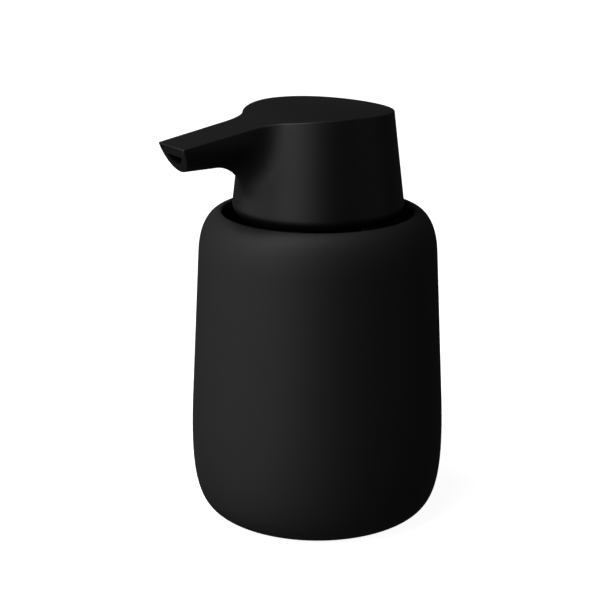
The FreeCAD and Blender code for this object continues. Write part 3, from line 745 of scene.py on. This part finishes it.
@dataclass
class PumpUnit:
    """Closure, housing, nut, lock ring and dip tube: what stays still while the head is pressed."""

    closure_top_z: float = 88.6
    closure_t: float = 2.6
    closure_r: float = 31.2
    plug_r: float = 19.4
    plug_wall: float = 2.4
    plug_bottom_z: float = 73.6
    finish_r: float = 12.0
    finish_bore: float = 9.4
    finish_top_z: float = 96.0
    groove_deep: float = 1.1
    groove_z: float = 80.9
    groove_h: float = 2.4
    bore_r: float = 7.0
    housing_r: float = 8.2
    flange_r: float = 11.6
    flange_z: float = 97.0
    flange_top_z: float = 98.4
    housing_bottom_z: float = 47.0
    housing_floor_z: float = 49.0
    pocket_r: float = 3.4
    pocket_z: float = 41.5
    pocket_wall: float = 1.6
    seat_r: float = 1.7
    seat_under_z: float = 40.0
    socket_r: float = 4.35
    socket_z: float = 31.0
    lock_skirt_r: float = 7.6
    lock_bottom_z: float = 88.4
    nut_r: float = 14.55
    nut_gap: float = 0.15
    nut_foot_gap: float = 0.3
    nut_top_t: float = 1.4
    nut_hole_gap: float = 0.2
    nut_ribs: int = 36
    rib_stands: float = 0.35
    rib_low_r: float = 0.34
    rib_high_r: float = 0.24
    rib_foot: float = 0.9
    rib_ends: float = 2.4
    lock_flange_r: float = 9.0
    lock_seam: float = 0.02
    lock_top_z: float = 100.4
    stem_bore_r: float = 4.06
    wiper_r: float = 5.6
    wiper_deep: float = 2.0
    tube_r: float = 2.95
    tube_wall: float = 0.85
    tube_end_z: float = 11.0
    tube_slant: float = 30.0
    tube_rings: int = 12

    def build(self, shop: Workshop, nodes: dict[str, bpy.types.Object]) -> None:
        """Make the pieces that can be seen from outside or with the pump lifted out.

        Args:
            shop: The workshop that makes the meshes.
            nodes: CAD nodes by name.
        """
        self.build_closure(shop)
        self.build_housing(shop)
        self.build_nut(shop)
        self.build_lock_ring(shop)
        self.build_dip_tube(shop)
        for name in ("closure_gasket", "plug_seal", "housing_gasket", "stem_wiper"):
            dress(nodes[name], SEAL_SILICONE)
        dress(nodes["ball_cage"], NATURAL_POLYPROPYLENE)

    def build_closure(self, shop: Workshop) -> None:
        """Closure plate, plug skirt with its groove, and the neck that the nut sits on.

        Args:
            shop: The workshop that makes the meshes.
        """
        under = self.closure_top_z - self.closure_t
        plug_in = self.plug_r - self.plug_wall
        groove_r = self.plug_r - self.groove_deep
        groove_top = self.groove_z + self.groove_h
        outline = softened([
            Corner(self.finish_bore, under, 0.3), Corner(plug_in, under, 0.5),
            Corner(plug_in, self.plug_bottom_z, 0.5), Corner(self.plug_r, self.plug_bottom_z, 0.6),
            Corner(self.plug_r, self.groove_z, 0.15), Corner(groove_r, self.groove_z),
            Corner(groove_r, groove_top), Corner(self.plug_r, groove_top, 0.15),
            Corner(self.plug_r, under), Corner(self.closure_r, under, 0.3),
            Corner(self.closure_r, self.closure_top_z, 0.85), Corner(self.finish_r, self.closure_top_z),
            Corner(self.finish_r, self.finish_top_z, 0.4), Corner(self.finish_bore, self.finish_top_z, 0.3)])
        plate = shop.turned("closure_plate", outline, BLACK_POLYPROPYLENE)
        settle(plate, "pump_unit", "black_moulding", "closure_plug")

    def build_housing(self, shop: Workshop) -> None:
        """Pump cylinder with its flange, pocket, seat and tube socket.

        Args:
            shop: The workshop that makes the meshes.
        """
        pocket_out = self.pocket_r + self.pocket_wall
        bottom = self.housing_bottom_z
        outline = softened([
            Corner(self.bore_r, self.lock_bottom_z), Corner(self.lock_skirt_r, self.lock_bottom_z),
            Corner(self.lock_skirt_r, self.flange_top_z, 0.15), Corner(self.flange_r, self.flange_top_z, 0.3),
            Corner(self.flange_r, self.flange_z, 0.3), Corner(self.housing_r, self.flange_z),
            Corner(self.housing_r, bottom, 1.0), Corner(pocket_out, bottom, 0.6),
            Corner(pocket_out, self.seat_under_z, 0.4), Corner(self.socket_r, self.seat_under_z),
            Corner(self.socket_r, self.socket_z, 0.4), Corner(self.tube_r, self.socket_z, 0.3),
            Corner(self.tube_r, self.seat_under_z), Corner(self.seat_r, self.seat_under_z),
            Corner(self.seat_r, self.pocket_z, 0.2), Corner(self.pocket_r, self.pocket_z),
            Corner(self.pocket_r, self.housing_floor_z), Corner(self.bore_r, self.housing_floor_z)])
        settle(shop.turned("pump_cylinder", outline, NATURAL_POLYPROPYLENE), "pump_unit", "white_moulding",
               "pump_housing")

    def build_nut(self, shop: Workshop) -> None:
        """Collar nut with its ring of grip ribs.

        Args:
            shop: The workshop that makes the meshes.
        """
        inner = self.finish_r + self.nut_gap
        foot = self.closure_top_z + self.nut_foot_gap
        top = self.flange_top_z + self.nut_top_t
        wall = self.nut_r - self.rib_stands
        hole = self.lock_flange_r + self.nut_hole_gap
        outline = softened([
            Corner(inner, foot), Corner(wall, foot, 0.3), Corner(wall, top, 0.9), Corner(hole, top, 0.3),
            Corner(hole, self.flange_top_z), Corner(inner, self.flange_top_z)])
        body = shop.turned("nut_body", outline, BLACK_POLYPROPYLENE)
        rib = self.rib_mesh(top - foot - self.rib_ends, foot + self.rib_foot)
        values = {"Count": self.nut_ribs, "Ring Radius": wall * MM, "Material": BLACK_POLYPROPYLENE.make()}
        ribs = shop.ring.run("nut_ribs", rib, values)
        nut = shop.joined("collar_nut_ribbed", [body, shop.finished(ribs)])
        settle(nut, "pump_unit", "black_moulding", "collar_nut")

    def rib_mesh(self, height: float, low: float) -> bpy.types.Mesh:
        """One upright half-round rib with a tapered top, sunk a little into the nut's wall.

        Args:
            height: Length of the rib in millimetres.
            low: Height of its foot.

        Returns:
            The rib's mesh.
        """
        rib = bmesh.new()
        bmesh.ops.create_cone(rib, cap_ends=True, segments=10, radius1=self.rib_low_r * MM,
                              radius2=self.rib_high_r * MM, depth=height * MM)
        bmesh.ops.translate(rib, verts=rib.verts, vec=(0, 0, (low + height / 2) * MM))
        mesh = bpy.data.meshes.new("nut_rib")
        rib.to_mesh(mesh)
        rib.free()
        return mesh

    def build_lock_ring(self, shop: Workshop) -> None:
        """Ring that closes the housing's mouth around the stem.

        Args:
            shop: The workshop that makes the meshes.
        """
        shoulder = self.flange_top_z - self.wiper_deep
        skirt_r = self.lock_skirt_r - self.lock_seam
        under = self.flange_top_z + self.lock_seam
        outline = softened([
            Corner(self.stem_bore_r, shoulder), Corner(self.wiper_r, shoulder),
            Corner(self.wiper_r, self.lock_bottom_z), Corner(skirt_r, self.lock_bottom_z, 0.3),
            Corner(skirt_r, under), Corner(self.lock_flange_r, under, 0.2),
            Corner(self.lock_flange_r, self.lock_top_z, 0.7), Corner(self.stem_bore_r, self.lock_top_z, 0.3)])
        settle(shop.turned("stem_lock_ring", outline, NATURAL_POLYPROPYLENE), "pump_unit", "white_moulding",
               "lock_ring")

    def build_dip_tube(self, shop: Workshop) -> None:
        """Dip tube with its slanted end.

        Args:
            shop: The workshop that makes the meshes.
        """
        inner = self.tube_r - self.tube_wall
        low = self.tube_end_z
        rise = self.seat_under_z - low
        steps = [low + rise * k / self.tube_rings for k in range(self.tube_rings + 1)]
        outline = [(inner, z) for z in steps] + [(self.tube_r, z) for z in reversed(steps)]
        tube = shop.turned("slanted_dip_tube", outline, EXTRUDED_TUBE)
        slope = math.tan(math.radians(self.tube_slant))
        for vertex in tube.data.vertices:
            if vertex.co.z < low * MM + MERGE_DISTANCE:
                vertex.co.z += (self.tube_r * MM + vertex.co.y) * slope
        settle(tube, "pump_unit", "clear_tube", "dip_tube")


# ------------------------------------------------------------------ plunger, valves and head

@dataclass
class Plunger:
    """Piston and return spring."""

    spring_r: float = 4.95
    wire_r: float = 0.45
    spring_low_z: float = 50.42
    spring_high_z: float = 76.28
    turns: float = 8.0
    travel: float = 11.0

    def build(self, shop: Workshop, nodes: dict[str, bpy.types.Object]) -> None:
        """Wind the spring and dress the piston.

        Args:
            shop: The workshop that makes the meshes.
            nodes: CAD nodes by name.
        """
        spring = self.wind(shop)
        settle(spring, "plunger", "steel", "return_spring")
        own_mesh(spring)
        dress(nodes["piston_seal"], SOFT_POLYETHYLENE)

    def wind(self, shop: Workshop) -> bpy.types.Object:
        """Wind the wire and lift it to its place.

        Args:
            shop: The workshop that makes the meshes.

        Returns:
            The spring.
        """
        rise = self.spring_high_z - self.spring_low_z - 2 * self.wire_r
        values = {"Turns": self.turns, "Coil Radius": self.spring_r * MM,
                  "End Radius": self.spring_r * MM, "Wire Radius": self.wire_r * MM, "Rise": rise * MM,
                  "Material": STAINLESS.make()}
        coil = shop.coil.run("wound_return_spring", bpy.data.meshes.new("coil_start"), values)
        coil.data.transform(Matrix.Translation((0, 0, (self.spring_low_z + self.wire_r) * MM)))
        return shop.finished(coil)


@dataclass
class PumpHead:
    """Head shell with its spout, the stem, rod and core under it, and the tube in the spout."""

    crease: float = 28.0

    def build(self, shop: Workshop, nodes: dict[str, bpy.types.Object]) -> None:
        """Make the shell and the spout's tube smooth, and dress what is inside.

        Args:
            shop: The workshop that makes the meshes.
            nodes: CAD nodes by name.
        """
        shell = shop.copied(nodes["head_shell"], "pump_head_shell", MOULDED_ABS, self.crease)
        settle(shell, "head", "head_plastic", "head_shell")
        tube = shop.copied(nodes["spout_tube"], "outlet_tube", EXTRUDED_TUBE, self.crease)
        settle(tube, "head", "clear_tube", "spout_tube")
        for name in ("stem", "piston_rod", "outlet_stop", "actuator_core"):
            dress(nodes[name], NATURAL_POLYPROPYLENE)


# ------------------------------------------------------------------ studio

@dataclass
class Studio:
    """White floor and background, soft light from the left, and the camera."""

    distance: float = 500.0
    aim_z: float = 75.0
    azimuth: float = 55.61
    elevation: float = 16.84
    roll: float = 0.264
    lens: float = 88.97
    shift_x: float = -0.0296
    shift_y: float = -0.0120
    sensor: float = 36.0
    box_distance: float = 1.1
    box_width: float = 0.9
    floor_half: float = 6.0
    table_glow: float = 0.93
    fill: float = 0.032
    white: float = 0.99

    def build(self) -> None:
        """Set up everything around the object."""
        self.floor()
        self.world()
        self.camera()
        self.lights()
        bpy.context.scene.view_settings.view_transform = "Standard"
        bpy.context.scene.view_settings.look = "None"

    def back(self) -> Vector:
        """Direction from the object to the camera.

        Returns:
            A unit vector.
        """
        a = math.radians(self.azimuth)
        e = math.radians(self.elevation)
        return Vector((math.sin(a) * math.cos(e), -math.cos(a) * math.cos(e), math.sin(e)))

    def camera(self) -> None:
        """Camera at the product's three-quarter view."""
        data = bpy.data.cameras.new("camera")
        data.sensor_width = self.sensor
        data.lens = self.lens
        data.shift_x = self.shift_x
        data.shift_y = self.shift_y
        data.clip_start = 0.01
        camera = bpy.data.objects.new("camera", data)
        bpy.context.scene.collection.objects.link(camera)
        turn = (-self.back()).to_track_quat("-Z", "Y").to_matrix().to_4x4()
        roll = Matrix.Rotation(math.radians(self.roll), 4, "Z")
        place = Matrix.Translation(Vector((0, 0, self.aim_z * MM)) + self.back() * self.distance * MM)
        camera.matrix_world = place @ turn @ roll
        bpy.context.scene.camera = camera

    def floor(self) -> None:
        """White sweep under the object, lit from behind as a light table is."""
        mesh = bpy.data.meshes.new("floor")
        half = self.floor_half
        mesh.from_pydata([(-half, -half, 0), (half, -half, 0), (half, half, 0), (-half, half, 0)], [],
                         [(0, 1, 2, 3)])
        floor = bpy.data.objects.new("floor", mesh)
        bpy.context.scene.collection.objects.link(floor)
        material = bpy.data.materials.new("white_light_table")
        material.use_nodes = True
        shader = material.node_tree.nodes["Principled BSDF"]
        shader.inputs["Base Color"].default_value = linear("f4f4f4")
        shader.inputs["Roughness"].default_value = 0.8
        shader.inputs["Emission Color"].default_value = linear("ffffff")
        shader.inputs["Emission Strength"].default_value = self.table_glow
        mesh.materials.append(material)
        floor.visible_diffuse = False
        floor.visible_glossy = False
        floor.visible_shadow = False

    def world(self) -> None:
        """White to the eye, and only a faint fill on the object."""
        world = bpy.data.worlds.new("studio")
        world.use_nodes = True
        tree = world.node_tree
        tree.nodes.clear()
        seen = add_node(tree, "ShaderNodeLightPath").outputs["Is Camera Ray"]
        paper = linear("ffffff")
        fill = add_node(tree, "ShaderNodeBackground", None, {"Color": paper, "Strength": self.fill})
        white = add_node(tree, "ShaderNodeBackground", None, {"Color": paper, "Strength": self.white})
        mixed = add_node(tree, "ShaderNodeMixShader", None,
                         {0: seen, 1: fill.outputs[0], 2: white.outputs[0]})
        add_node(tree, "ShaderNodeOutputWorld", None, {"Surface": mixed.outputs[0]})
        bpy.context.scene.world = world

    def lights(self) -> None:
        """Soft boxes on the camera's left, from high to under the table, and a faint one on its right."""
        self.soft_box("key", 75.0, 60.0, 0.8, 8.5)
        self.soft_box("middle", 60.0, 30.0, 0.6, 2.8)
        self.soft_box("side", 95.0, 0.0, 0.6, 1.05)
        self.soft_box("front", 30.0, 0.0, 0.6, 1.9)
        self.soft_box("low", 60.0, -22.0, 0.6, 1.05)
        self.soft_box("right", -75.0, 10.0, 0.9, 0.28)

    def soft_box(self, name: str, to_left: float, elevation: float, height: float,
                 power: float) -> None:
        """Place a rectangular soft light that aims at the object.

        Args:
            name: Name of the light.
            to_left: Degrees to the left of the camera, seen from above.
            elevation: Degrees above the horizon.
            height: Metres up.
            power: Watts.
        """
        a = math.radians(self.azimuth - to_left)
        e = math.radians(elevation)
        back = Vector((math.sin(a) * math.cos(e), -math.cos(a) * math.cos(e), math.sin(e)))
        data = bpy.data.lights.new(name, "AREA")
        data.shape = "RECTANGLE"
        data.size = self.box_width
        data.size_y = height
        data.energy = power
        light = bpy.data.objects.new(name, data)
        bpy.context.scene.collection.objects.link(light)
        turn = (-back).to_track_quat("-Z", "Y").to_matrix().to_4x4()
        spot = Vector((0, 0, self.aim_z * MM)) + back * self.box_distance
        light.matrix_world = Matrix.Translation(spot) @ turn


def corners(box: tuple[Vector, Vector]) -> list[list[float]]:
    """A box as plain lists of numbers."""
    return [list(box[0]), list(box[1])]


def main() -> None:
    """Build the sub-assemblies in order and set up the studio."""
    logging.basicConfig(level=logging.INFO, format="%(name)s %(message)s")
    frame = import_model()
    nodes = frame["nodes"]
    shop = Workshop()
    CeramicVessel().build(shop)
    PumpUnit().build(shop, nodes)
    Plunger().build(shop, nodes)
    PumpHead().build(shop, nodes)
    for name in ("inlet_ball", "outlet_ball"):
        dress(nodes[name], STAINLESS)
    Studio().build()


if __name__ == "__main__":
    main()
